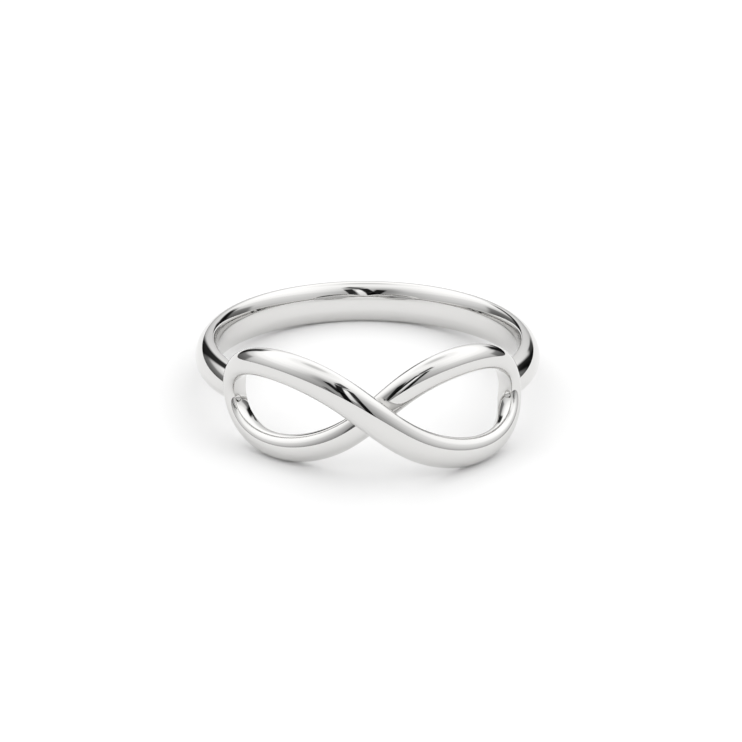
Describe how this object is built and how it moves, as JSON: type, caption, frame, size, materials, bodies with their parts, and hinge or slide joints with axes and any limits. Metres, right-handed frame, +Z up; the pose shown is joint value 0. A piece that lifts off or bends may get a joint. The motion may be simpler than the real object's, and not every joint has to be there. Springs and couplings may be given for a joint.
{
  "type": "infinity ring",
  "caption": "Polished silver finger ring: a rounded band whose ends run into an over-and-under figure-eight strand, resting on its side.",
  "frame": {"origin": "centre of the footprint on the surface that the ring lies on, under the middle of its bounding box", "axes": "+Z up from the surface, +Y from the figure eight towards the back of the band, +X to the right as the figure eight is seen from the front"},
  "size_m": [0.0198, 0.0206, 0.007],
  "materials": {
    "silver": "mirror polished silver"
  },
  "bodies": {
    "root": {"ring": "silver"}
  },
  "joints": []
}
